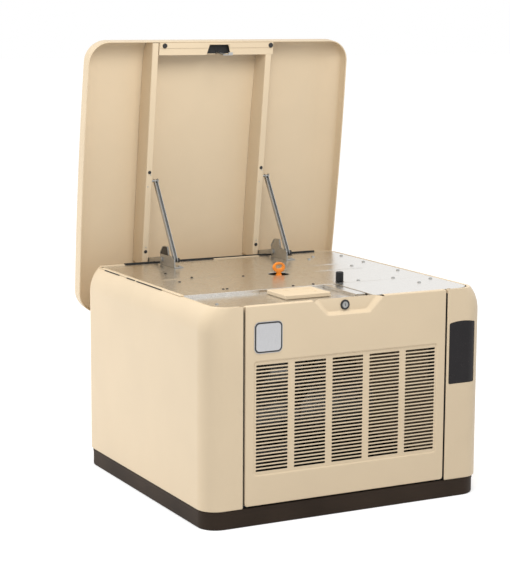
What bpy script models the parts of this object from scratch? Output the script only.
"""Home standby generator: sheet-metal enclosure with a lifting lid, engine and alternator inside.

Metres, +Z up, +X to the right and +Y to the back as seen from the louvred front.
The origin is on the ground, under the middle of the enclosure.
"""

from math import atan2, cos, hypot, pi, radians, sin, sqrt

import bmesh
import bpy
from mathutils import Matrix, Vector


# ---------------------------------------------------------------- driving dimensions
# Enclosure
WIDTH = 0.950
DEPTH = 0.898
DECK_TOP = 0.649
BASE_HEIGHT = 0.056
BASE_INSET = 0.004
BASE_WALL = 0.003
CORNER_RADIUS = 0.060
SHOULDER_RADIUS = 0.106
SHOULDER_HEIGHT = 0.074
SHEET = 0.002
FLANGE = 0.013
SEAT = 0.0003
RUNNING = 0.0003
JOINT_GAP = 0.006

# Front panel
PANEL_WIDTH = 0.680
PANEL_CENTRE = -0.008
PANEL_FOOT = 0.061
PANEL_FOLD = 0.015
LOUVRE_COLUMNS = 5
LOUVRE_ROWS = 30
LOUVRE_WIDTH = 0.104
LOUVRE_COLUMN_PITCH = 0.126
LOUVRE_PITCH = 0.0106
LOUVRE_HEIGHT = 0.005
LOUVRE_FOOT = 0.159
RECESS_TOP_WIDTH = 0.241
RECESS_FOOT_WIDTH = 0.160
RECESS_HEIGHT = 0.043
RECESS_DEPTH = 0.012
BADGE_WIDTH = 0.092
BADGE_HEIGHT = 0.092
BADGE_CENTRE = (-0.275, 0.555)
LOCK_X = -0.016
LOCK_DROP = 0.021
LOCK_RADIUS = 0.015
BARREL_RADIUS = 0.010
CAM_BACK = 0.0205

# Control window
WINDOW_LEFT = WIDTH / 2 - 0.130
WINDOW_RIGHT = WIDTH / 2 - 0.034
WINDOW_FOOT = 0.356
WINDOW_HEIGHT = 0.194
WINDOW_ARCH = 0.006
WINDOW_SINK = 0.0006

# Frame under the deck
TUBE = 0.020
DECK_FOLD = 0.010
TRAY_BACK = 0.2445 - DEPTH / 2
DECK_SPLIT_X = 0.083
DECK_MARGIN = 0.0005
HATCH_LEFT = -0.167
HATCH_SIZE = (0.152, 0.121)
HATCH_BACK = 0.0795
HATCH_THICK = 0.014
DISH_SIZE = (0.090, 0.057)

# Lid
LID_WIDTH = WIDTH + 0.006
LID_DEPTH = DEPTH - 0.001
LID_GAP = 0.007
LID_SKIRT = 0.036
LID_ROUND = 0.042
LID_EDGE = 0.075
LID_CROWN = 0.010
LID_CORNER = 0.070
LID_BARREL = 0.006
LID_OPEN = 82.5

# Lid linkage, in the planes beside the two channels
CHANNEL_CENTRES = {"left": -0.243, "right": 0.170}
CHANNEL_WIDTH = 0.022
CHANNEL_FRONT = 0.044 - LID_DEPTH / 2
CHANNEL_BACK = DEPTH / 2 - 0.149
CROSS_LENGTH = 0.410
CROSS_CENTRE = -0.020
CROSS_HEIGHT = 0.041
CROSS_RISE = 0.030
STAY_PIVOT = (DEPTH / 2 - 0.146, DECK_TOP + 0.024)
STAY_LENGTH = 0.290
STAY_OPEN = 57.5
STAY_WIDTH = 0.012
STAY_HEIGHT = 0.012
LID_PIN_RISE = 0.010
LINK_PIN_BACK = STAY_LENGTH - 0.0211
LINK_PIN_RISE = 0.007
LINK_PIVOT_HEIGHT = DECK_TOP + 0.019
LINK_THICK = 0.004
LINK_HEIGHT = 0.016
BRACKET_THICK = 0.003
LAYER_GAP = 0.001
PIN_RADIUS = 0.004

# Deck fittings
DIPSTICK_AT = (0.024, 0.044)
DIPSTICK_HOLE = 0.034
DIPSTICK_BORE = 0.0055
HANDLE_HEIGHT = 0.038
FILLER_AT = (0.119, TRAY_BACK + 0.0295)
FILLER_RADIUS = 0.012
FILLER_HEIGHT = 0.030

# Engine and alternator
CRANK_Y = 0.060
CRANK_Z = 0.215
SHAFT_RADIUS = 0.018
CASE_LEFT = -0.165
CASE_RIGHT = 0.055
CASE_HALF = 0.105
CASE_TOP = 0.100
CYLINDER_X = -0.075
CYLINDER_LENGTH = 0.105
CYLINDER_RADIUS = 0.042
FIN_RADIUS = 0.058
FINS = 6
HEAD_SIZE = 0.110
HEAD_HEIGHT = 0.078
COVER_HEIGHT = 0.030
STATOR_RADIUS = 0.115
STATOR_WALL = 0.030
STATOR_LENGTH = 0.250
ROTOR_RADIUS = 0.081
FAN_RADIUS = 0.104
FAN_BLADES = 10
MIXER_TOP = 0.528
MIXER_HALF = 0.028
MUFFLER_RADIUS = 0.062
MUFFLER_LENGTH = 0.420
MUFFLER_AT = (DEPTH / 2 - 0.104, 0.205)
TAIL_X = -0.120
TAIL_RADIUS = 0.020
CRADLE_TOP = 0.0907

# Battery, gas and controls
BATTERY_LOW = (0.050 - WIDTH / 2, 0.064 - DEPTH / 2)
BATTERY_SIZE = (0.175, 0.180, 0.1767)
REGULATOR_AT = (0.165 - WIDTH / 2, DEPTH / 2 - 0.199)
REGULATOR_FOOT = 0.150
REGULATOR_HEIGHT = 0.060
CONTROL_LEFT = WIDTH / 2 - 0.1105
CONTROL_SIZE = (0.072, 0.095, 0.230)
CONTROL_FACE = 0.048
CONTROL_FOOT = 0.345
SWITCH_X = WIDTH / 2 - 0.075
SWITCH_Z = 0.440
TOGGLE_Z = 0.495

BODY_LEFT = -WIDTH / 2
BODY_FRONT = -DEPTH / 2
BODY_BACK = DEPTH / 2
SHOULDER_LEAN = SHOULDER_RADIUS - sqrt(SHOULDER_RADIUS**2 - SHOULDER_HEIGHT**2)
PANEL_BOTTOM = BASE_HEIGHT + SEAT
DECK_EDGE = WIDTH / 2 - SHOULDER_LEAN - FLANGE - DECK_MARGIN
DECK_BACK = BODY_BACK - FLANGE - DECK_MARGIN
FRAME_TOP = DECK_TOP - DECK_FOLD - SHEET - SEAT
TRAY_FRONT = BODY_FRONT + PANEL_FOLD + DECK_MARGIN
DECK_CORNER = CORNER_RADIUS - FLANGE - DECK_MARGIN
PANEL_LEFT = PANEL_CENTRE - PANEL_WIDTH / 2
PANEL_RIGHT = PANEL_CENTRE + PANEL_WIDTH / 2
LOCK_Z = DECK_TOP - LOCK_DROP
LID_RIM = DECK_TOP + LID_GAP
FLOOR_TOP = BASE_WALL + SEAT
CASE_LID = CRANK_Z + CASE_TOP
DIPSTICK_TUBE_TOP = DECK_TOP - 0.022
FAN_END = CASE_LEFT - 0.072
HEAD_REACH = CASE_TOP + CYLINDER_LENGTH + 0.025
CUT_PAST = 0.010


# ---------------------------------------------------------------- scene and materials
def clear_scene():
    for thing in list(bpy.data.objects):
        bpy.data.objects.remove(thing)


def collection(name):
    made = bpy.data.collections.new(name)
    bpy.context.scene.collection.children.link(made)
    return made


def coat(name, colour, roughness, metallic=0.0):
    made = bpy.data.materials.new(name)
    made.use_nodes = True
    shader = made.node_tree.nodes["Principled BSDF"]
    shader.inputs["Base Color"].default_value = (*colour, 1.0)
    shader.inputs["Roughness"].default_value = roughness
    shader.inputs["Metallic"].default_value = metallic
    return made


clear_scene()
PARTS = collection("standby_generator")
CUTTERS = collection("cutters")
PAINT = coat("beige_powder_coat", (0.68, 0.57, 0.40), 0.45)
BASE_PAINT = coat("dark_brown_paint", (0.025, 0.02, 0.018), 0.5)
ZINC = coat("zinc_plated_steel", (0.55, 0.57, 0.60), 0.3, 1.0)
DECK_SHEET = coat("bright_deck_sheet", (0.75, 0.74, 0.70), 0.2, 1.0)
CAST = coat("cast_aluminium", (0.45, 0.45, 0.45), 0.5, 1.0)
STEEL = coat("machined_steel", (0.5, 0.5, 0.5), 0.3, 1.0)
DARK_STEEL = coat("black_steel", (0.03, 0.03, 0.03), 0.4, 0.6)
BLACK_PLASTIC = coat("black_plastic", (0.015, 0.015, 0.015), 0.5)
ORANGE_PLASTIC = coat("orange_plastic", (0.9, 0.25, 0.01), 0.4)
SMOKED = coat("smoked_window", (0.02, 0.02, 0.022), 0.15)
RUBBER = coat("black_rubber", (0.02, 0.02, 0.02), 0.8)
COPPER = coat("wound_copper", (0.5, 0.2, 0.08), 0.4, 1.0)


# ---------------------------------------------------------------- shape helpers
def place(name, mesh, finish, where=None):
    thing = bpy.data.objects.new(name, mesh)
    thing.data.materials.append(finish)
    (where or PARTS).objects.link(thing)
    return thing


def from_bmesh(name, shape, finish):
    mesh = bpy.data.meshes.new(name)
    shape.to_mesh(mesh)
    shape.free()
    return place(name, mesh, finish)


def box(name, low, high, finish, bevel=0.0):
    """A box between two corners, with all its edges bevelled if asked."""
    low, high = Vector(low), Vector(high)
    shape = bmesh.new()
    bmesh.ops.create_cube(shape, size=1.0, matrix=Matrix.Diagonal((*(high - low), 1.0)))
    made = from_bmesh(name, shape, finish)
    made.location = (low + high) / 2
    if bevel:
        modifier = made.modifiers.new("edges", "BEVEL")
        modifier.width = bevel
        modifier.segments = 1
    return made


def rod(name, start, end, radius, finish, sides=20, end_radius=None):
    """A round bar, or a cone if its end has another radius."""
    start, end = Vector(start), Vector(end)
    shape = bmesh.new()
    bmesh.ops.create_cone(
        shape,
        cap_ends=True,
        segments=sides,
        radius1=radius,
        radius2=radius if end_radius is None else end_radius,
        depth=(end - start).length,
    )
    made = from_bmesh(name, shape, finish)
    made.location = (start + end) / 2
    made.rotation_mode = "QUATERNION"
    made.rotation_quaternion = (end - start).to_track_quat("Z", "Y")
    return made


def turned(name, outline, origin, axis, finish, steps=24):
    """A closed (radius, height) outline turned about an axis. It runs down its outer side."""
    shape = bmesh.new()
    corners = [shape.verts.new((radius, 0.0, height)) for radius, height in outline]
    loop = corners + corners[:1] if outline[0][0] > 0 else corners
    for first, second in zip(loop, loop[1:]):
        shape.edges.new((first, second))
    made = from_bmesh(name, shape, finish)
    made.location = origin
    made.rotation_mode = "QUATERNION"
    made.rotation_quaternion = Vector(axis).to_track_quat("Z", "Y")
    screw = made.modifiers.new("turn", "SCREW")
    screw.steps = steps
    screw.render_steps = steps
    screw.use_merge_vertices = True
    screw.merge_threshold = 0.00001
    return made


PLANES = {
    "top": Matrix(((1, 0, 0), (0, 1, 0), (0, 0, 1))),
    "side": Matrix(((0, 0, 1), (1, 0, 0), (0, 1, 0))),
    "front": Matrix(((1, 0, 0), (0, 0, -1), (0, 1, 0))),
}


def settled(curve_object, name, finish):
    """A curve object made a closed mesh object in its place, so that it can be cut."""
    bpy.context.view_layer.update()
    graph = bpy.context.evaluated_depsgraph_get()
    mesh = bpy.data.meshes.new_from_object(curve_object.evaluated_get(graph))
    shape = bmesh.new()
    shape.from_mesh(mesh)
    bmesh.ops.remove_doubles(shape, verts=shape.verts, dist=0.00001)
    bmesh.ops.recalc_face_normals(shape, faces=shape.faces)
    shape.to_mesh(mesh)
    shape.free()
    mesh.materials.clear()
    made = place(name, mesh, finish)
    made.matrix_world = curve_object.matrix_world.copy()
    bpy.data.objects.remove(curve_object)
    return made


def plate(name, loops, plane, start, end, finish):
    """A flat outline, with any further loops as holes in it, from start to end along its normal."""
    curve = bpy.data.curves.new(name, "CURVE")
    curve.dimensions = "2D"
    curve.fill_mode = "BOTH"
    curve.extrude = abs(end - start) / 2
    for loop in loops:
        spline = curve.splines.new("POLY")
        spline.points.add(len(loop) - 1)
        for point, (u, v) in zip(spline.points, loop):
            point.co = (u, v, 0.0, 1.0)
        spline.use_cyclic_u = True
    flat = bpy.data.objects.new(name + "_outline", curve)
    PARTS.objects.link(flat)
    turn = PLANES[plane]
    normal = Vector((abs(turn[0][2]), abs(turn[1][2]), abs(turn[2][2])))
    flat.matrix_world = Matrix.Translation(normal * (start + end) / 2) @ turn.to_4x4()
    return settled(flat, name, finish)


def pipe(name, points, radius, finish, sides=2):
    """A round pipe along a smooth curve through a few points."""
    curve = bpy.data.curves.new(name, "CURVE")
    curve.dimensions = "3D"
    curve.bevel_depth = radius
    curve.bevel_resolution = sides
    curve.use_fill_caps = True
    curve.resolution_u = 4
    spline = curve.splines.new("BEZIER")
    spline.bezier_points.add(len(points) - 1)
    for knot, point in zip(spline.bezier_points, points):
        knot.co = point
        knot.handle_left_type = "AUTO"
        knot.handle_right_type = "AUTO"
    route = bpy.data.objects.new(name + "_route", curve)
    PARTS.objects.link(route)
    return settled(route, name, finish)


def hide(helper):
    for holder in list(helper.users_collection):
        holder.objects.unlink(helper)
    CUTTERS.objects.link(helper)
    helper.hide_render = True
    helper.display_type = "WIRE"


def combine(target, helper, operation):
    hide(helper)
    modifier = target.modifiers.new(operation.lower(), "BOOLEAN")
    modifier.operation = operation
    modifier.object = helper
    return target


def cut(target, helper):
    return combine(target, helper, "DIFFERENCE")


def join(target, helper):
    return combine(target, helper, "UNION")


def ring(centre, radius, sides=20, start=0.0):
    """The corners of a regular outline round a point."""
    u, v = centre
    angles = [start + 2 * pi * step / sides for step in range(sides)]
    return [(u + radius * cos(a), v + radius * sin(a)) for a in angles]


def rounded(low, high, radii, steps=4):
    """A rectangle with four corner radii, anticlockwise from its lower right corner."""
    (left, foot), (right, top) = low, high
    corners = ((right, foot, -1, 1), (right, top, -1, -1), (left, top, 1, -1), (left, foot, 1, 1))
    outline = []
    for number, ((u, v, u_in, v_in), radius) in enumerate(zip(corners, radii)):
        if radius <= 0:
            outline.append((u, v))
            continue
        for step in range(steps + 1):
            angle = radians(90 * (number - 1) + 90 * step / steps)
            outline.append((u + radius * (u_in + cos(angle)), v + radius * (v_in + sin(angle))))
    return outline


def capsule(start, end, half, steps=6):
    """The outline of a flat bar with round ends."""
    heading = atan2(end[1] - start[1], end[0] - start[0])
    outline = []
    for (u, v), first in ((end, heading - pi / 2), (start, heading + pi / 2)):
        for step in range(steps + 1):
            angle = first + pi * step / steps
            outline.append((u + half * cos(angle), v + half * sin(angle)))
    return outline


def turned_point(point, angle):
    """A (y, z) point turned about +X by an angle in degrees."""
    y, z = point
    turn = radians(angle)
    return (y * cos(turn) - z * sin(turn), y * sin(turn) + z * cos(turn))


def lofted(name, rows, closed, wall, finish, cap=False):
    """A sheet through rows of points, thickened inwards."""
    shape = bmesh.new()
    grid = [[shape.verts.new(point) for point in row] for row in rows]
    count = len(rows[0])
    for low, high in zip(grid, grid[1:]):
        for step in range(count if closed else count - 1):
            after = (step + 1) % count
            shape.faces.new((low[step], low[after], high[after], high[step]))
    if cap:
        shape.faces.new(grid[-1])
    made = from_bmesh(name, shape, finish)
    solidify = made.modifiers.new("sheet", "SOLIDIFY")
    solidify.thickness = wall
    solidify.offset = -1.0
    solidify.use_even_offset = True
    return made


# ---------------------------------------------------------------- enclosure
def make_base():
    inset = BASE_INSET
    outline = rounded(
        (BODY_LEFT + inset, BODY_FRONT + inset),
        (-BODY_LEFT - inset, BODY_BACK - inset),
        (CORNER_RADIUS - inset,) * 4,
    )
    inner = inset + BASE_WALL
    hollow = rounded(
        (BODY_LEFT + inner, BODY_FRONT + inner),
        (-BODY_LEFT - inner, BODY_BACK - inner),
        (CORNER_RADIUS - inner,) * 4,
    )
    base = plate("base_pan", [outline], "top", 0.0, BASE_HEIGHT, BASE_PAINT)
    cut(base, plate("base_hollow", [hollow], "top", BASE_WALL, 2 * BASE_HEIGHT, BASE_PAINT))


def side_outline(front_end, back_end):
    """Plan points of a right side panel, from its front end round to its back end.

    Each comes with the way in and how much of the shoulder's lean it takes.
    """
    half = WIDTH / 2
    points = [((front_end, BODY_FRONT), (0.0, 1.0), 0.0)]
    for first, y in ((-90, BODY_FRONT + CORNER_RADIUS), (0, BODY_BACK - CORNER_RADIUS)):
        for step in range(7):
            angle = radians(first + 90 * step / 6)
            out = (cos(angle), sin(angle))
            at = (half - CORNER_RADIUS + CORNER_RADIUS * out[0], y + CORNER_RADIUS * out[1])
            points.append((at, (-out[0], -out[1]), 1.0))
    points.append(((back_end, BODY_BACK), (0.0, -1.0), 0.0))
    return points


def side_levels():
    """(height, lean, turn-in) from the foot flange up over the shoulder to the top flange."""
    start = DECK_TOP - SHOULDER_HEIGHT
    levels = [(PANEL_BOTTOM, 0.0, FLANGE), (PANEL_BOTTOM, 0.0, 0.0)]
    most = atan2(SHOULDER_HEIGHT, SHOULDER_RADIUS - SHOULDER_LEAN)
    for step in range(6):
        angle = most * step / 5
        levels.append(
            (start + SHOULDER_RADIUS * sin(angle), SHOULDER_RADIUS * (1 - cos(angle)), 0.0)
        )
    levels.append((DECK_TOP, SHOULDER_LEAN, FLANGE))
    return levels


def side_panel(name, front_end, back_end, mirror, sink=0.0):
    """A panel that wraps the front and back corners of one side."""
    rows = []
    for height, lean, turn_in in side_levels():
        row = []
        for (x, y), (in_x, in_y), leans in side_outline(front_end, back_end):
            reach = turn_in + sink
            row.append((mirror * (x - lean * leans + in_x * reach), y + in_y * reach, height))
        rows.append(row if mirror > 0 else row[::-1])
    return lofted(name, rows, False, SHEET, PAINT)


def window_outline(clearance):
    """The control window as seen from the front, smaller by the clearance."""
    left = WINDOW_LEFT + clearance
    right = WINDOW_RIGHT - clearance
    foot = WINDOW_FOOT + clearance
    top = WINDOW_FOOT + WINDOW_HEIGHT - clearance
    outline = [(left, foot), (right, foot), (right, top - WINDOW_ARCH)]
    middle = (left + right) / 2
    half = (right - left) / 2
    for step in range(1, 6):
        across = right - (right - left) * step / 6
        outline.append((across, top - WINDOW_ARCH * ((across - middle) / half) ** 2))
    outline.append((left, top - WINDOW_ARCH))
    return outline


def make_side_panels():
    gap_left = PANEL_LEFT - JOINT_GAP
    gap_right = PANEL_RIGHT + JOINT_GAP
    side_panel("left_panel", -gap_left, -gap_left, -1)
    right = side_panel("right_panel", gap_right, gap_right, 1)
    behind = BODY_FRONT + CORNER_RADIUS
    ahead = BODY_FRONT - SHEET
    cut(right, plate("window_cut", [window_outline(0.0)], "front", ahead, behind, PAINT))
    lens = side_panel("control_window", gap_right + SEAT, gap_right + SEAT, 1, WINDOW_SINK)
    lens.data.materials[0] = SMOKED
    shape = plate("window_shape", [window_outline(RUNNING)], "front", ahead, behind, SMOKED)
    combine(lens, shape, "INTERSECT")


def make_rear_panel():
    """A flat panel with a grille of slots for the cooling air and a hole for the tail pipe."""
    low = (PANEL_LEFT, PANEL_BOTTOM)
    high = (PANEL_RIGHT, DECK_TOP)
    panel = plate(
        "rear_panel", [rounded(low, high, (0, 0, 0, 0))], "front", BODY_BACK - SHEET, BODY_BACK, PAINT
    )
    slots = bmesh.new()
    for column in range(3):
        for row in range(10):
            where = Matrix.Translation(
                (PANEL_CENTRE + (column - 1) * 0.20, BODY_BACK, 0.33 + row * 0.024)
            )
            size = Matrix.Diagonal((0.16, 0.05, 0.010, 1.0))
            bmesh.ops.create_cube(slots, size=1.0, matrix=where @ size)
    cut(panel, from_bmesh("rear_slots", slots, PAINT))
    z = MUFFLER_AT[1]
    start = (TAIL_X, BODY_BACK - SHEET - CUT_PAST, z)
    end = (TAIL_X, BODY_BACK + CUT_PAST, z)
    cut(panel, rod("tail_hole", start, end, TAIL_RADIUS + 2 * RUNNING, PAINT))


def recess_outline(grow, above):
    """The handle recess seen from the front, grown by a wall, up to a height above the deck."""
    top = RECESS_TOP_WIDTH / 2 + grow
    foot = RECESS_FOOT_WIDTH / 2 + grow
    low = DECK_TOP - RECESS_HEIGHT - grow
    high = DECK_TOP + above
    return [
        (PANEL_CENTRE - foot, low),
        (PANEL_CENTRE + foot, low),
        (PANEL_CENTRE + top, high),
        (PANEL_CENTRE - top, high),
    ]


def make_front_panel():
    """A folded tray with five columns of slots and a recess for the hand at its top."""
    back = BODY_FRONT + PANEL_FOLD
    low = (PANEL_LEFT, BODY_FRONT, PANEL_FOOT)
    panel = box("front_panel", low, (PANEL_RIGHT, back, DECK_TOP), PAINT)
    inside_low = (PANEL_LEFT + SHEET, BODY_FRONT + SHEET, PANEL_FOOT + SHEET)
    inside_high = (PANEL_RIGHT - SHEET, back + PANEL_FOLD, DECK_TOP - SHEET)
    cut(panel, box("panel_hollow", inside_low, inside_high, PAINT))
    floor = BODY_FRONT + RECESS_DEPTH
    block = recess_outline(SHEET, -SEAT)
    join(panel, plate("recess_block", [block], "front", BODY_FRONT + SEAT, floor + SHEET, PAINT))
    pocket = recess_outline(0.0, SHEET)
    cut(panel, plate("recess_pocket", [pocket], "front", BODY_FRONT - SHEET, floor, PAINT))
    slots = bmesh.new()
    size = Matrix.Diagonal((LOUVRE_WIDTH, 4 * SHEET, LOUVRE_HEIGHT, 1.0))
    for column in range(LOUVRE_COLUMNS):
        x = PANEL_CENTRE + (column - (LOUVRE_COLUMNS - 1) / 2) * LOUVRE_COLUMN_PITCH
        for row in range(LOUVRE_ROWS):
            z = LOUVRE_FOOT + (row + 0.5) * LOUVRE_PITCH
            where = Matrix.Translation((x, BODY_FRONT + SHEET / 2, z))
            bmesh.ops.create_cube(slots, size=1.0, matrix=where @ size)
    cut(panel, from_bmesh("louvre_slots", slots, PAINT))
    bore = BARREL_RADIUS + RUNNING
    cut(panel, rod("lock_bore", (LOCK_X, floor - 0.01, LOCK_Z), (LOCK_X, back, LOCK_Z), bore, PAINT))
    u, v = BADGE_CENTRE
    corner = (u - BADGE_WIDTH / 2, v - BADGE_HEIGHT / 2)
    far = (u + BADGE_WIDTH / 2, v + BADGE_HEIGHT / 2)
    front = BODY_FRONT - SEAT
    plate("blank_plate", [rounded(corner, far, (0.016,) * 4)], "front", front - 0.002, front, STEEL)


def make_lock():
    """Cylinder through the recess floor, and the cam on its tail. The cam points up when unlocked."""
    floor = BODY_FRONT + RECESS_DEPTH - SEAT
    cylinder = rod(
        "lock_cylinder",
        (LOCK_X, floor - 0.004, LOCK_Z),
        (LOCK_X, floor, LOCK_Z),
        LOCK_RADIUS,
        DARK_STEEL,
        24,
    )
    barrel_end = floor + CAM_BACK
    tail = (LOCK_X, barrel_end, LOCK_Z)
    join(cylinder, rod("barrel", (LOCK_X, floor - 0.001, LOCK_Z), tail, BARREL_RADIUS, DARK_STEEL))
    start = barrel_end + SEAT
    outline = capsule((LOCK_X, LOCK_Z), (LOCK_X, LOCK_Z + 0.020 - BARREL_RADIUS), 0.007)
    plate("lock_cam", [outline], "front", start, start + 0.003, ZINC)


def make_frame():
    """Welded frame: four corner posts, a ring of rails under the deck, and two cross rails."""
    half = WIDTH / 2 - SHOULDER_LEAN - TUBE / 2
    top = FRAME_TOP
    foot = top - TUBE
    front = TRAY_FRONT + 0.041
    back = DECK_BACK - 0.006
    frame = box("enclosure_frame", (-half, front, foot), (half, front + TUBE, top), DARK_STEEL)
    rails = [
        ((-half, back - TUBE, foot), (half, back, top)),
        ((-half, front, foot), (-half + TUBE, back, top)),
        ((half - TUBE, front, foot), (half, back, top)),
        ((-half, TRAY_BACK - TUBE / 2, foot), (half, TRAY_BACK + TUBE / 2, top)),
        ((DECK_SPLIT_X - TUBE / 2, front, foot), (DECK_SPLIT_X + TUBE / 2, back, top)),
    ]
    face = BODY_FRONT + WINDOW_SINK + SHEET + SEAT
    ledge = PANEL_BOTTOM + SHEET + SEAT
    stop = BODY_FRONT + PANEL_FOLD + SEAT
    rear = BODY_BACK - SHEET - SEAT
    far_left = PANEL_LEFT - JOINT_GAP - 0.026
    far_right = CONTROL_LEFT - SEAT
    for edge, way, outer in ((PANEL_LEFT, -1, far_left), (PANEL_RIGHT, 1, far_right)):
        near = edge + way * (JOINT_GAP - 0.001)
        inner = edge - way * 0.014
        left, right = sorted((outer, near))
        rails.append(((left, face, ledge), (right, front + SHEET, top)))
        left, right = sorted((outer, inner))
        rails.append(((left, stop, FLOOR_TOP), (right, stop + SHEET, foot)))
        rails.append(((left, back - TUBE, FLOOR_TOP), (right, back, foot + SHEET)))
        rails.append(((left, back - SHEET, ledge), (right, rear, foot)))
    for number, (low, high) in enumerate(rails):
        join(frame, box(f"frame_rail_{number}", low, high, DARK_STEEL))


def folded_sheet(name, low, high, radii, finish):
    """A flat deck sheet with all its edges folded down."""
    foot = DECK_TOP - DECK_FOLD - SHEET
    sheet = plate(name, [rounded(low, high, radii)], "top", foot, DECK_TOP, finish)
    inner_low = (low[0] + SHEET, low[1] + SHEET)
    inner_high = (high[0] - SHEET, high[1] - SHEET)
    inner_radii = [max(radius - SHEET, 0) for radius in radii]
    under = rounded(inner_low, inner_high, inner_radii)
    return cut(sheet, plate(name + "_under", [under], "top", foot - SHEET, DECK_TOP - SHEET, finish))


def make_deck():
    """Sheets on the frame: two at the back, one at the right front corner, and a lower tray."""
    half_gap = 0.0015
    left = DECK_SPLIT_X - half_gap
    right = DECK_SPLIT_X + half_gap
    round_left = (0, 0, DECK_CORNER, 0)
    low = (-DECK_EDGE, TRAY_BACK)
    main = folded_sheet("deck_main_plate", low, (left, DECK_BACK), round_left, DECK_SHEET)
    x, y = DIPSTICK_AT
    under, over = DECK_TOP - 5 * CUT_PAST, DECK_TOP + CUT_PAST
    cut(main, rod("dipstick_hole", (x, y, under), (x, y, over), DIPSTICK_HOLE, DECK_SHEET, 28))
    high = (DECK_EDGE, DECK_BACK)
    rear = folded_sheet("deck_right_plate", (right, TRAY_BACK), high, (0, DECK_CORNER, 0, 0), DECK_SHEET)
    x, y = FILLER_AT
    gap = FILLER_RADIUS + 0.002
    cut(rear, rod("filler_hole", (x, y, under), (x, y, over), gap, DECK_SHEET, 20))
    seam = TRAY_BACK - 2 * SEAT
    low = (right, TRAY_FRONT)
    folded_sheet("deck_corner_plate", low, (DECK_EDGE, seam), (DECK_CORNER, 0, 0, 0), DECK_SHEET)
    tray_top = FRAME_TOP + SEAT + SHEET
    outline = rounded((-DECK_EDGE, TRAY_FRONT), (left, seam), (0, 0, 0, DECK_CORNER))
    tray = plate("deck_front_tray", [outline], "top", tray_top - SHEET, tray_top, DECK_SHEET)
    pocket_low = (LOCK_X - 0.048, TRAY_FRONT - CUT_PAST, under)
    pocket_high = (LOCK_X + 0.075, TRAY_FRONT + 0.036, over)
    cut(tray, box("striker_pocket", pocket_low, pocket_high, DECK_SHEET))
    make_hatch(tray_top)
    outer = SHOULDER_LEAN + DECK_MARGIN - WIDTH / 2
    low = (outer, TRAY_BACK - 0.0155, DECK_TOP + SEAT)
    high = (outer + FLANGE - 2 * DECK_MARGIN, BODY_BACK - 0.072, DECK_TOP + 0.0045)
    box("deck_side_seal", low, high, PAINT, 0.001)


def make_hatch(tray_top):
    """A small cover on the tray, with a shallow dish in its middle."""
    length, depth = HATCH_SIZE
    front = TRAY_FRONT + HATCH_BACK
    top = tray_top + HATCH_THICK
    low = (HATCH_LEFT, front, tray_top + SEAT)
    hatch = box("tray_hatch", low, (HATCH_LEFT + length, front + depth, top), PAINT, 0.002)
    dish_length, dish_depth = DISH_SIZE
    left = HATCH_LEFT + (length + 0.010 - dish_length) / 2
    near = front + (depth - dish_depth) / 2
    dish_high = (left + dish_length, near + dish_depth, top + CUT_PAST)
    cut(hatch, box("hatch_dish", (left, near, top - SHEET), dish_high, PAINT))


# ---------------------------------------------------------------- lid, as if closed
def lid_height(reach):
    """Height of the lid's outer skin above its rim, that far in from the nearest edge."""
    if reach <= LID_EDGE:
        return LID_SKIRT + LID_ROUND * sqrt(max(0.0, 1 - (1 - reach / LID_EDGE) ** 2))
    run = (reach - LID_EDGE) / (LID_DEPTH / 2 - LID_EDGE)
    return LID_SKIRT + LID_ROUND + LID_CROWN * sin(min(run, 1.0) * pi / 2)


def lid_outline(reach):
    """Plan points of the lid that far in from its rim. The sides belly out a little."""
    half_x = LID_WIDTH / 2 - reach
    half_y = LID_DEPTH / 2 - reach
    corner = max(LID_CORNER - reach, 0.012)
    arcs = []
    for x_way, y_way, first in ((1, -1, -90), (1, 1, 0), (-1, 1, 90), (-1, -1, 180)):
        middle = Vector((x_way * (half_x - corner), y_way * (half_y - corner)))
        turns = [radians(first + 90 * step / 5) for step in range(6)]
        arcs.append([middle + corner * Vector((cos(turn), sin(turn))) for turn in turns])
    points = []
    for arc, following in zip(arcs, arcs[1:] + arcs[:1]):
        points.extend(arc)
        points.extend(arc[-1].lerp(following[0], part) for part in (0.25, 0.5, 0.75))
    return [(x * (1 - LID_BARREL / half_x * (y / half_y) ** 2), y) for x, y in points]


def lid_pose():
    """The empty that carries the lid: at its pins, turned to the open pose."""
    y, z = STAY_PIVOT
    turn = radians(STAY_OPEN)
    carrier = bpy.data.objects.new("lid_axis", None)
    PARTS.objects.link(carrier)
    carrier.location = (0.0, y + STAY_LENGTH * cos(turn), z + STAY_LENGTH * sin(turn))
    carrier.rotation_euler = (radians(-LID_OPEN), 0.0, 0.0)
    return carrier


def closed_pin():
    """(y, z) of the lid's pins with the lid closed, which the stays' length sets."""
    y, z = STAY_PIVOT
    height = LID_RIM + LID_PIN_RISE
    return y - sqrt(STAY_LENGTH**2 - (height - z) ** 2), height


def hang(thing, carrier):
    """Gives a piece made in the closed lid's place to the lid's empty."""
    y, z = closed_pin()
    thing.location -= Vector((0.0, y, z))
    thing.parent = carrier
    return thing


def make_lid_shell(carrier):
    rows = [[(x, y, LID_RIM) for x, y in lid_outline(0.0)]]
    for part in (0.0, 0.03, 0.12, 0.28, 0.55, 1.0):
        reach = LID_EDGE * part
        rows.append([(x, y, LID_RIM + lid_height(reach)) for x, y in lid_outline(reach)])
    for part in (0.35, 0.80):
        reach = LID_EDGE + (LID_DEPTH / 2 - LID_EDGE) * part
        rows.append([(x, y, LID_RIM + lid_height(reach)) for x, y in lid_outline(reach)])
    hang(lofted("lid_shell", rows, True, SHEET, PAINT, cap=True), carrier)


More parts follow.
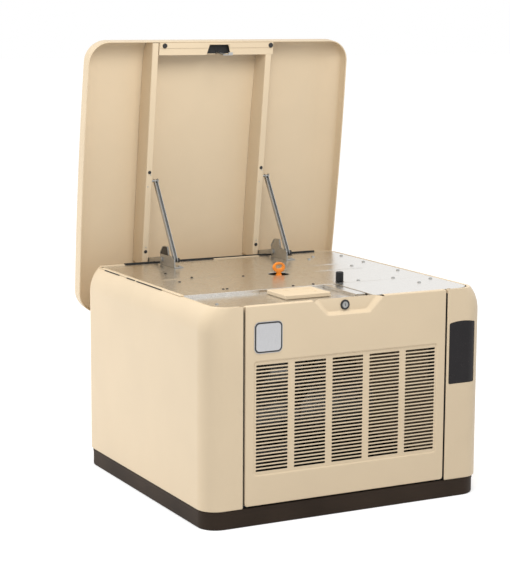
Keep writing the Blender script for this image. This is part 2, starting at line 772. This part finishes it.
def channel_side(centre):
    """Outline in (y, z) of a channel that runs from the rim's plane up to the lid's skin."""
    clear = SHEET + 0.0035
    outline = [(CHANNEL_FRONT, LID_RIM), (CHANNEL_BACK - 0.012, LID_RIM)]
    outline += [(CHANNEL_BACK, LID_RIM + 0.012)]
    length = CHANNEL_BACK - CHANNEL_FRONT
    aside = LID_WIDTH / 2 - abs(centre) - CHANNEL_WIDTH / 2
    for step in range(9):
        y = CHANNEL_BACK - length * step / 8
        reach = min(aside, LID_DEPTH / 2 - abs(y))
        outline.append((y, LID_RIM + lid_height(reach) - clear))
    return outline


def make_lid_channel(side, carrier):
    """A folded channel with a pin for its stay. The stay and the link lie on its right."""
    centre = CHANNEL_CENTRES[side]
    left = centre - CHANNEL_WIDTH / 2
    right = centre + CHANNEL_WIDTH / 2
    channel = plate(f"lid_channel_{side}", [channel_side(centre)], "side", left, right, PAINT)
    low = (left + SHEET, CHANNEL_FRONT - SHEET, LID_RIM + SHEET)
    high = (right - SHEET, CHANNEL_BACK - SHEET, LID_RIM + 0.2)
    hollow = box(f"channel_hollow_{side}", low, high, PAINT)
    y, z = closed_pin()
    stay = stay_left(side)
    shank_end = (stay + STAY_WIDTH + LAYER_GAP, y, z)
    shank = rod(f"lid_pin_{side}", (right - SHEET, y, z), shank_end, PIN_RADIUS, ZINC, 16)
    head_start = stay + STAY_WIDTH + SEAT
    head = rod(f"lid_pin_head_{side}", (head_start, y, z), (head_start + 0.003, y, z), 0.007, ZINC, 16)
    cut(channel, hollow)
    join(channel, shank)
    join(channel, head)
    for piece in (channel, hollow, shank, head):
        hang(piece, carrier)


def make_cross_channel(carrier):
    low = (CROSS_CENTRE - CROSS_LENGTH / 2, -LID_DEPTH / 2 + SHEET + SEAT, LID_RIM)
    high = (CROSS_CENTRE + CROSS_LENGTH / 2, low[1] + CROSS_HEIGHT, LID_RIM + CROSS_RISE)
    cross = box("lid_cross_channel", low, high, PAINT)
    low_in = (low[0] - SHEET, low[1] + SHEET, LID_RIM + SHEET)
    high_in = (high[0] + SHEET, high[1] - SHEET, LID_RIM + 0.1)
    hollow = box("cross_hollow", low_in, high_in, PAINT)
    foot = low[1] + 0.010
    notch_outline = [
        (LOCK_X - 0.034, foot),
        (LOCK_X + 0.034, foot),
        (LOCK_X + 0.046, high[1] + 0.01),
        (LOCK_X - 0.046, high[1] + 0.01),
    ]
    notch = plate("cross_notch", [notch_outline], "top", LID_RIM - SHEET, LID_RIM + 0.014, PAINT)
    cut(cross, hollow)
    cut(cross, notch)
    for piece in (cross, hollow, notch):
        hang(piece, carrier)


def make_striker(carrier):
    """A strip that reaches down behind the lock, with a lip at its right for the turned cam."""
    front = BODY_FRONT + RECESS_DEPTH + CAM_BACK + 0.0045
    foot = LOCK_Z - 0.020
    back = front + 0.003
    left, right = LOCK_X - 0.007, LOCK_X + 0.028
    top = LID_RIM + CROSS_RISE - 0.001
    strip = box("lid_striker", (left, front, foot), (LOCK_X + 0.007, back, top - 0.001), ZINC)
    bar = box("striker_bar", (left, front, foot), (right, back, foot + 0.005), ZINC)
    lip_low = (LOCK_X + 0.012, front - 0.007, foot)
    lip = box("striker_lip", lip_low, (right, front + 0.001, foot + 0.003), ZINC)
    seat_front = -LID_DEPTH / 2 + 2 * SHEET + 2 * SEAT
    tab_high = (LOCK_X + 0.020, back, top)
    tab = box("striker_tab", (LOCK_X - 0.020, seat_front, top - 0.003), tab_high, ZINC)
    for piece in (bar, lip, tab):
        join(strip, piece)
    for piece in (strip, bar, lip, tab):
        hang(piece, carrier)


# ---------------------------------------------------------------- linkage that carries the lid
def link_left(side):
    return CHANNEL_CENTRES[side] + CHANNEL_WIDTH / 2 + LAYER_GAP


def bracket_left(side):
    return link_left(side) + LINK_THICK + LAYER_GAP


def stay_left(side):
    return bracket_left(side) + BRACKET_THICK + LAYER_GAP


def open_lid_point(point):
    """Where a (y, z) point of the closed lid lies with the lid open."""
    y, z = closed_pin()
    out_y, out_z = turned_point((point[0] - y, point[1] - z), -LID_OPEN)
    turn = radians(STAY_OPEN)
    return (
        STAY_PIVOT[0] + STAY_LENGTH * cos(turn) + out_y,
        STAY_PIVOT[1] + STAY_LENGTH * sin(turn) + out_z,
    )


def link_geometry():
    """Pivot on the bracket, length and angle of the rear links, which fit the lid open and closed."""
    y, z = closed_pin()
    shut = (y + LINK_PIN_BACK, LID_RIM + LINK_PIN_RISE)
    lifted = open_lid_point(shut)
    middle = ((shut[0] + lifted[0]) / 2, (shut[1] + lifted[1]) / 2)
    along = (shut[0] - lifted[0], shut[1] - lifted[1])
    across = (along[1], -along[0]) if along[0] < 0 else (-along[1], along[0])
    part = (LINK_PIVOT_HEIGHT - middle[1]) / across[1]
    pivot = (middle[0] + part * across[0], LINK_PIVOT_HEIGHT)
    length = hypot(lifted[0] - pivot[0], lifted[1] - pivot[1])
    return pivot, length, atan2(lifted[1] - pivot[1], lifted[0] - pivot[0])


def axis_empty(name, x, pivot, angle):
    carrier = bpy.data.objects.new(name, None)
    PARTS.objects.link(carrier)
    carrier.location = (x, *pivot)
    carrier.rotation_euler = (angle, 0.0, 0.0)
    return carrier


def make_stay(side):
    """A U-section bar between two pins, drawn along +Y from its axis on the bracket."""
    half = STAY_HEIGHT / 2
    outline = capsule((0.0, 0.0), (STAY_LENGTH, 0.0), half)
    left = 0.0
    stay = plate(f"stay_{side}", [outline], "side", left, left + STAY_WIDTH, ZINC)
    trough_low = (left + SHEET, -STAY_HEIGHT, SHEET - half)
    trough_high = (left + STAY_WIDTH - SHEET, STAY_LENGTH + STAY_HEIGHT, STAY_HEIGHT)
    helpers = [box(f"stay_trough_{side}", trough_low, trough_high, ZINC)]
    for end in (0.0, STAY_LENGTH):
        start = (left - 0.01, end, 0.0)
        stop = (left + STAY_WIDTH + 0.01, end, 0.0)
        helpers.append(rod(f"stay_eye_{side}_{end:.0f}", start, stop, PIN_RADIUS + RUNNING, ZINC, 16))
    carrier = axis_empty(f"stay_axis_{side}", stay_left(side), STAY_PIVOT, radians(STAY_OPEN))
    for helper in helpers:
        cut(stay, helper)
    for piece in [stay, *helpers]:
        piece.parent = carrier


def make_link(side):
    pivot, length, angle = link_geometry()
    outline = capsule((0.0, 0.0), (length, 0.0), LINK_HEIGHT / 2)
    link = plate(f"rear_link_{side}", [outline], "side", 0.0, LINK_THICK, ZINC)
    eye = rod(f"link_eye_{side}", (-0.01, 0, 0), (0.01, 0, 0), PIN_RADIUS + RUNNING, ZINC, 16)
    cut(link, eye)
    carrier = axis_empty(f"link_axis_{side}", link_left(side), pivot, angle)
    for piece in (link, eye):
        piece.parent = carrier


def make_bracket(side):
    """The upright plate that holds both pivots, its foot on the deck, and the front pivot's bolt."""
    pivot, _, _ = link_geometry()
    foot = DECK_TOP + SEAT
    left = bracket_left(side)
    right = left + BRACKET_THICK
    front_y, front_z = STAY_PIVOT
    back_y = pivot[0]
    hump = front_y + 0.036
    outline = [(front_y - 0.014, foot), (back_y + 0.014, foot), (back_y + 0.014, pivot[1] + 0.004)]
    outline += [(back_y + 0.006, pivot[1] + 0.012), (back_y - 0.020, pivot[1] + 0.014)]
    for step in range(9):
        angle = pi * step / 8
        outline.append((hump + 0.026 * cos(angle), front_z + 0.017 + 0.024 * sin(angle)))
    outline += [(front_y + 0.004, front_z + 0.013), (front_y - 0.014, front_z + 0.006)]
    bracket = plate(f"hinge_bracket_{side}", [outline], "side", left, right, ZINC)
    high = (right + 0.030, back_y + 0.014, foot + BRACKET_THICK)
    join(bracket, box(f"bracket_foot_{side}", (left, front_y - 0.014, foot), high, ZINC))
    tip = link_left(side)
    stub = rod(f"link_pin_{side}", (tip - 0.0005, *pivot), (left + 0.001, *pivot), PIN_RADIUS, ZINC, 16)
    join(bracket, stub)
    hole = rod(
        f"bolt_hole_{side}",
        (left - 0.01, *STAY_PIVOT),
        (right + 0.01, *STAY_PIVOT),
        PIN_RADIUS + SEAT,
        ZINC,
        16,
    )
    cut(bracket, hole)
    end = stay_left(side) + STAY_WIDTH + LAYER_GAP
    shank_end = (end, *STAY_PIVOT)
    bolt = rod(f"pivot_bolt_{side}", (left, *STAY_PIVOT), shank_end, PIN_RADIUS, DARK_STEEL, 16)
    head_start = (end - 0.0005, *STAY_PIVOT)
    head_end = (end + 0.006, *STAY_PIVOT)
    head = rod(f"bolt_head_{side}", head_start, head_end, 2 * PIN_RADIUS, DARK_STEEL, 6)
    join(bolt, head)


# ---------------------------------------------------------------- deck fittings
def make_dipstick():
    """A ring to pull, on a rod that hangs in its tube down into the crankcase."""
    x, y = DIPSTICK_AT
    top = DECK_TOP + HANDLE_HEIGHT
    outline = [(x - 0.008, DECK_TOP - 0.004), (x + 0.008, DECK_TOP - 0.004)]
    outline += [(x + 0.010, DECK_TOP + 0.012), (x + 0.021, top - 0.014), (x + 0.021, top - 0.006)]
    outline += [(x + 0.014, top), (x - 0.014, top), (x - 0.021, top - 0.006)]
    outline += [(x - 0.021, top - 0.014), (x - 0.010, DECK_TOP + 0.012)]
    eye = capsule((x - 0.006, top - 0.013), (x + 0.006, top - 0.013), 0.006)
    handle = plate("dipstick", [outline, eye], "front", y - 0.004, y + 0.004, ORANGE_PLASTIC)
    seat = DIPSTICK_TUBE_TOP + SEAT
    join(handle, rod("dipstick_plug", (x, y, seat), (x, y, DECK_TOP - 0.001), 0.011, ORANGE_PLASTIC, 20))
    blade = rod("dipstick_blade", (x, y, CRANK_Z + 0.070), (x, y, seat + 0.002), 0.003, STEEL, 8)
    join(handle, blade)
    tube = rod("dipstick_tube", (x, y, CASE_LID + SEAT), (x, y, DIPSTICK_TUBE_TOP), 0.008, ZINC, 16)
    bore = rod("dipstick_bore", (x, y, CASE_LID - CUT_PAST), (x, y, DECK_TOP), DIPSTICK_BORE, ZINC, 12)
    cut(tube, bore)


def make_filler():
    """A ribbed cap on the oil filler pipe, which bends down to the crankcase."""
    x, y = FILLER_AT
    ribs = 12
    outline = []
    for step in range(ribs):
        for part, groove in ((0.0, 0.0), (0.5, 0.0), (0.62, 0.002), (0.88, 0.002)):
            angle = 2 * pi * (step + part) / ribs
            radius = FILLER_RADIUS - groove
            outline.append((x + radius * cos(angle), y + radius * sin(angle)))
    foot = DECK_TOP + 0.001
    cap = plate("oil_filler_cap", [outline], "top", foot, foot + FILLER_HEIGHT, BLACK_PLASTIC)
    neck_top = DECK_TOP - 0.010
    join(cap, rod("cap_plug", (x, y, neck_top - 0.02), (x, y, foot + 0.001), 0.0085, BLACK_PLASTIC, 16))
    points = [
        (x, y, neck_top + 0.004),
        (x, y, DECK_TOP - 0.129),
        (0.075, CRANK_Y - 0.185, (DECK_TOP + CASE_LID) / 2 - 0.082),
        (CASE_RIGHT - 0.03, -0.085, CRANK_Z + 0.045),
        (CASE_RIGHT - 0.035, CRANK_Y - CASE_HALF - SEAT, CRANK_Z + 0.020),
    ]
    tube = pipe("oil_filler_pipe", points, 0.0125, BLACK_PLASTIC)
    cut(tube, rod("filler_bore", (x, y, neck_top - 0.03), (x, y, DECK_TOP), 0.0095, BLACK_PLASTIC, 16))
    inside = (-0.05, CRANK_Y - CASE_HALF - SEAT, CRANK_Z - CASE_TOP)
    cut(tube, box("filler_end", inside, (0.1, CRANK_Y, CASE_LID), BLACK_PLASTIC))


# ---------------------------------------------------------------- engine and alternator
def make_mounts():
    for name, y in (("front", CRANK_Y - 0.085), ("rear", CRANK_Y + 0.085)):
        low = (-0.140, y - 0.018, FLOOR_TOP)
        high = (0.290, y + 0.018, CRADLE_TOP - 0.0153)
        box(f"rubber_mount_{name}", low, high, RUBBER, 0.006)
    low = (-0.180, CRANK_Y - 0.115, CRADLE_TOP - 0.015)
    high = (0.315, CRANK_Y + 0.115, CRADLE_TOP)
    cradle = box("engine_cradle", low, high, DARK_STEEL)
    gap_low = (-0.130, CRANK_Y - 0.055, 0.0)
    gap_high = (0.265, CRANK_Y + 0.055, 0.2)
    cut(cradle, box("cradle_gap", gap_low, gap_high, DARK_STEEL))


def make_crankcase():
    """A casting with two faces at 45 degrees for the cylinders and a bore for the shaft."""
    low = CRADLE_TOP + SEAT
    half = CASE_HALF
    lean = CASE_TOP * sqrt(2)
    flat = lean - CASE_TOP
    outline = [
        (CRANK_Y - half, low),
        (CRANK_Y + half, low),
        (CRANK_Y + half, CRANK_Z + lean - half),
        (CRANK_Y + flat, CASE_LID),
        (CRANK_Y - flat, CASE_LID),
        (CRANK_Y - half, CRANK_Z + lean - half),
    ]
    case = plate("crankcase", [outline], "side", CASE_LEFT, CASE_RIGHT, CAST)
    start = (CASE_LEFT - CUT_PAST, CRANK_Y, CRANK_Z)
    end = (CASE_RIGHT + CUT_PAST, CRANK_Y, CRANK_Z)
    cut(case, rod("crank_bore", start, end, SHAFT_RADIUS + SEAT, CAST, 24))
    x, y = DIPSTICK_AT
    start = (x, y, CRANK_Z + 0.060)
    cut(case, rod("gauge_bore", start, (x, y, CASE_LID + CUT_PAST), DIPSTICK_BORE, CAST, 12))


def make_cylinder(name, way):
    """A finned barrel with its head and valve cover, square to one leaning face."""
    start = CASE_TOP + SEAT
    pitch = CYLINDER_LENGTH / FINS
    outline = [(0.0, start + CYLINDER_LENGTH)]
    for fin in reversed(range(FINS)):
        foot = start + fin * pitch
        outline += [
            (CYLINDER_RADIUS, foot + pitch),
            (CYLINDER_RADIUS, foot + 0.65 * pitch),
            (FIN_RADIUS, foot + 0.55 * pitch),
            (FIN_RADIUS, foot + 0.30 * pitch),
            (CYLINDER_RADIUS, foot + 0.20 * pitch),
        ]
    outline += [(CYLINDER_RADIUS, start), (0.0, start)]
    axis = (0.0, way * sin(pi / 4), cos(pi / 4))
    turned(f"cylinder_{name}", outline, (CYLINDER_X, CRANK_Y, CRANK_Z), axis, CAST, 16)
    half = HEAD_SIZE / 2
    foot = start + CYLINDER_LENGTH + SEAT
    top = foot + HEAD_HEIGHT - COVER_HEIGHT
    head = box(f"cylinder_head_{name}", (-half, -half, foot), (half, half, top), CAST)
    inner = half - 0.012
    high = (inner, inner, foot + HEAD_HEIGHT)
    cover = box(f"valve_cover_{name}", (-inner, -inner, top - SHEET), high, CAST, 0.008)
    join(head, cover)
    carrier = axis_empty(f"cylinder_axis_{name}", CYLINDER_X, (CRANK_Y, CRANK_Z), -way * pi / 4)
    head.parent = carrier
    cover.parent = carrier


def make_rotating_group():
    """Shaft through the crankcase, with the cooling fan on its left end and the rotor on its right."""
    start = (FAN_END, CRANK_Y, CRANK_Z)
    end = (CASE_RIGHT + STATOR_LENGTH + 0.032, CRANK_Y, CRANK_Z)
    shaft = rod("crankshaft", start, end, SHAFT_RADIUS, STEEL, 24)
    flat_low = (FAN_END - CUT_PAST, CRANK_Y - SHAFT_RADIUS, CRANK_Z + 0.014)
    flat_high = (FAN_END + 0.012, CRANK_Y + SHAFT_RADIUS, CRANK_Z + 2 * SHAFT_RADIUS)
    cut(shaft, box("shaft_flat", flat_low, flat_high, STEEL))
    bore = SHAFT_RADIUS + SEAT
    hub = 0.042
    outline = []
    for blade in range(FAN_BLADES):
        for part, radius in ((-0.12, hub), (-0.05, FAN_RADIUS), (0.05, FAN_RADIUS), (0.12, hub)):
            angle = 2 * pi * (blade + part * (1 if radius > hub else 2)) / FAN_BLADES
            outline.append((CRANK_Y + radius * cos(angle), CRANK_Z + radius * sin(angle)))
    disc_start = CASE_LEFT - 0.026
    eye = ring((CRANK_Y, CRANK_Z), bore)
    rim = ring((CRANK_Y, CRANK_Z), FAN_RADIUS, 32)
    fan = plate("cooling_fan", [outline, eye], "side", disc_start - 0.036, disc_start, CAST)
    join(fan, plate("flywheel_disc", [rim, eye], "side", disc_start - 0.001, disc_start + 0.018, CAST))
    rotor_start = CASE_RIGHT + 0.020
    rotor_end = CASE_RIGHT + STATOR_LENGTH - 0.030
    rim = ring((CRANK_Y, CRANK_Z), ROTOR_RADIUS, 32)
    plate("alternator_rotor", [rim, eye], "side", rotor_start, rotor_end, COPPER)


def make_shroud_and_stator():
    wall = 0.003
    mouth = 0.078
    inner = FAN_RADIUS + 0.006
    deep = CASE_LEFT - SEAT - FAN_END
    outline = [(mouth, wall), (mouth, 0.0), (inner + wall, 0.0), (inner + wall, deep)]
    outline += [(inner, deep), (inner, wall)]
    turned("fan_shroud", outline[::-1], (FAN_END, CRANK_Y, CRANK_Z), (1, 0, 0), DARK_STEEL, 28)
    bore = SHAFT_RADIUS + SEAT
    wall = STATOR_WALL
    outer = STATOR_RADIUS
    length = STATOR_LENGTH
    outline = [
        (outer, length + 0.018),
        (outer, 0.0),
        (outer - wall, 0.0),
        (outer - wall, length),
        (bore, length),
        (bore, length + 0.018),
    ]
    turned("alternator_stator", outline, (CASE_RIGHT + SEAT, CRANK_Y, CRANK_Z), (1, 0, 0), CAST, 28)


def make_exhaust():
    y, z = MUFFLER_AT
    half = MUFFLER_LENGTH / 2
    radius = MUFFLER_RADIUS
    middle = -0.01
    outline = [
        (0.0, half),
        (radius - 0.012, half),
        (radius, half - 0.012),
        (radius, 0.012 - half),
        (radius - 0.012, -half),
        (0.0, -half),
    ]
    muffler = turned("muffler", outline, (middle, y, z), (1, 0, 0), ZINC, 24)
    tail_end = BODY_BACK + 0.012
    tail = rod("tail_pipe", (TAIL_X, y + radius - 0.01, z), (TAIL_X, tail_end, z), TAIL_RADIUS, ZINC, 20)
    join(muffler, tail)
    low = (middle - 0.03, y - 0.035, FLOOR_TOP)
    join(muffler, box("muffler_foot", low, (middle + 0.03, y + 0.035, z - 0.03), ZINC))
    port = CYLINDER_X + HEAD_SIZE / 2 + SEAT
    reach = HEAD_REACH / sqrt(2)
    over = [(0.090, -0.06, 0.405), (0.125, 0.06, 0.410)]
    rear_points = [(0.040, y - 0.065, 0.370), (0.055, y - 0.010, 0.325)]
    front_points = [*over, (0.14, y - 0.095, 0.375), (0.135, y - 0.010, 0.32)]
    for name, way, points in (("rear", 1, rear_points), ("front", -1, front_points)):
        start = (port, CRANK_Y + way * reach, CRANK_Z + reach)
        end_x = points[-1][0]
        out = (port + 0.022, start[1], start[2])
        route = [start, out, *points, (end_x, y, z + radius + 0.001)]
        pipe(f"exhaust_pipe_{name}", route, 0.016, ZINC)


def make_intake():
    """Air cleaner over the mixer, whose two arms reach the heads."""
    inner = (HEAD_REACH - HEAD_SIZE / 2) / sqrt(2)
    outer = (HEAD_REACH + HEAD_SIZE / 2) / sqrt(2)
    arm = 0.013
    points = [
        (CYLINDER_X, CRANK_Y - inner - 0.002, CRANK_Z + outer + 0.012),
        (CYLINDER_X, CRANK_Y - inner + 0.040, CRANK_Z + outer + 0.044),
        (CYLINDER_X, CRANK_Y + inner - 0.040, CRANK_Z + outer + 0.044),
        (CYLINDER_X, CRANK_Y + inner + 0.002, CRANK_Z + outer + 0.012),
    ]
    manifold = pipe("fuel_mixer", points, arm, CAST)
    half = MIXER_HALF
    low = (CYLINDER_X - half, CRANK_Y - half, CRANK_Z + outer + 0.030)
    join(manifold, box("mixer_body", low, (CYLINDER_X + half, CRANK_Y + half, MIXER_TOP), CAST))
    low = (CYLINDER_X - 0.110, CRANK_Y - 0.100, MIXER_TOP + SEAT)
    high = (CYLINDER_X + 0.075, CRANK_Y + 0.100, MIXER_TOP + 0.076)
    box("air_cleaner", low, high, BLACK_PLASTIC, 0.012)


def make_engine_fittings():
    face = CRANK_Y - CASE_HALF - SEAT
    outline = [(0.0, 0.085), (0.030, 0.085), (0.035, 0.078), (0.035, 0.0), (0.0, 0.0)]
    turned("oil_filter", outline, (0.012, face, CRANK_Z - 0.045), (0, -1, 0), DARK_STEEL, 20)
    radius = 0.030
    y = face - radius
    z = CRANK_Z - 0.055
    end = CASE_LEFT + 0.120
    starter = rod("starter_motor", (CASE_LEFT + 0.005, y, z), (end, y, z), radius, DARK_STEEL, 20)
    join(starter, rod("starter_nose", (end - 0.001, y, z), (end + 0.015, y, z), 0.020, DARK_STEEL, 16))


# ---------------------------------------------------------------- battery, gas and controls
def make_battery():
    low = Vector((*BATTERY_LOW, FLOOR_TOP))
    high = low + Vector(BATTERY_SIZE)
    battery = box("battery", low, high, BLACK_PLASTIC, 0.004)
    y = high.y - 0.035
    for number, x in enumerate((low.x + 0.030, high.x - 0.030)):
        start, end = (x, y, high.z - 0.002), (x, y, high.z + 0.016)
        join(battery, rod(f"battery_post_{number}", start, end, 0.009, STEEL, 12))


def make_gas_train():
    """Demand regulator on the base with its inlet at the rear panel, and the hose to the mixer."""
    x, y = REGULATOR_AT
    high = REGULATOR_HEIGHT
    outline = [(0.0, high), (0.030, high), (0.055, 0.040), (0.055, 0.020), (0.030, 0.0), (0.0, 0.0)]
    regulator = turned("gas_regulator", outline, (x, y, REGULATOR_FOOT), (0, 0, 1), CAST, 24)
    low = (x - 0.02, y - 0.03, FLOOR_TOP)
    join(regulator, box("regulator_foot", low, (x + 0.02, y + 0.03, REGULATOR_FOOT + 0.01), CAST))
    z = REGULATOR_FOOT + REGULATOR_HEIGHT / 2
    end = BODY_BACK - SHEET - SEAT
    join(regulator, rod("gas_inlet", (x, y + 0.03, z), (x, end, z), 0.014, CAST, 16))
    top = REGULATOR_FOOT + REGULATOR_HEIGHT + SEAT
    height = MIXER_TOP - 0.023
    points = [
        (x, y, top),
        (x, y, top + 0.03),
        (x, y - 0.02, top + 0.12),
        (x + 0.05, CRANK_Y + 0.04, height - 0.045),
        (CYLINDER_X - 0.09, CRANK_Y, height),
        (CYLINDER_X - MIXER_HALF - SEAT, CRANK_Y, height),
    ]
    pipe("gas_hose", points, 0.011, RUBBER)


def make_controls():
    """Control box behind the window, with the breaker's toggle and the mode switch on its face."""
    face = BODY_FRONT + CONTROL_FACE
    low = Vector((CONTROL_LEFT, face, CONTROL_FOOT))
    control = box("control_box", low, low + Vector(CONTROL_SIZE), BLACK_PLASTIC)
    for name, z, half_width, half_height, deep in (
        ("switch_pocket", SWITCH_Z, 0.009, 0.013, 0.011),
        ("toggle_slot", TOGGLE_Z, 0.007, 0.015, 0.015),
    ):
        near = (SWITCH_X - half_width, face - CUT_PAST, z - half_height)
        far = (SWITCH_X + half_width, face + deep, z + half_height)
        cut(control, box(name, near, far, BLACK_PLASTIC))
    axis_y = face + 0.005
    rocker = [
        (axis_y - 0.0075, SWITCH_Z + 0.0105),
        (axis_y + 0.001, SWITCH_Z + 0.0105),
        (axis_y + 0.0045, SWITCH_Z),
        (axis_y + 0.001, SWITCH_Z - 0.0105),
        (axis_y - 0.0075, SWITCH_Z - 0.0105),
        (axis_y - 0.0055, SWITCH_Z),
    ]
    half = 0.0087
    plate("mode_switch", [rocker[::-1]], "side", SWITCH_X - half, SWITCH_X + half, RUBBER)
    half = 0.0067
    start, end = (SWITCH_X - half, axis_y, TOGGLE_Z), (SWITCH_X + half, axis_y, TOGGLE_Z)
    lever = rod("breaker_toggle", start, end, 0.006, BLACK_PLASTIC, 16)
    tip_low = (SWITCH_X - 0.0045, axis_y - 0.020, TOGGLE_Z - 0.003)
    tip_high = (SWITCH_X + 0.0045, axis_y, TOGGLE_Z + 0.003)
    join(lever, box("toggle_tip", tip_low, tip_high, BLACK_PLASTIC))


def build():
    make_base()
    make_side_panels()
    make_rear_panel()
    make_front_panel()
    make_lock()
    make_frame()
    make_deck()
    carrier = lid_pose()
    make_lid_shell(carrier)
    make_cross_channel(carrier)
    make_striker(carrier)
    for side in CHANNEL_CENTRES:
        make_lid_channel(side, carrier)
        make_stay(side)
        make_link(side)
        make_bracket(side)
    make_dipstick()
    make_filler()
    make_mounts()
    make_crankcase()
    make_cylinder("front", -1)
    make_cylinder("rear", 1)
    make_rotating_group()
    make_shroud_and_stator()
    make_exhaust()
    make_intake()
    make_engine_fittings()
    make_battery()
    make_gas_train()
    make_controls()


build()
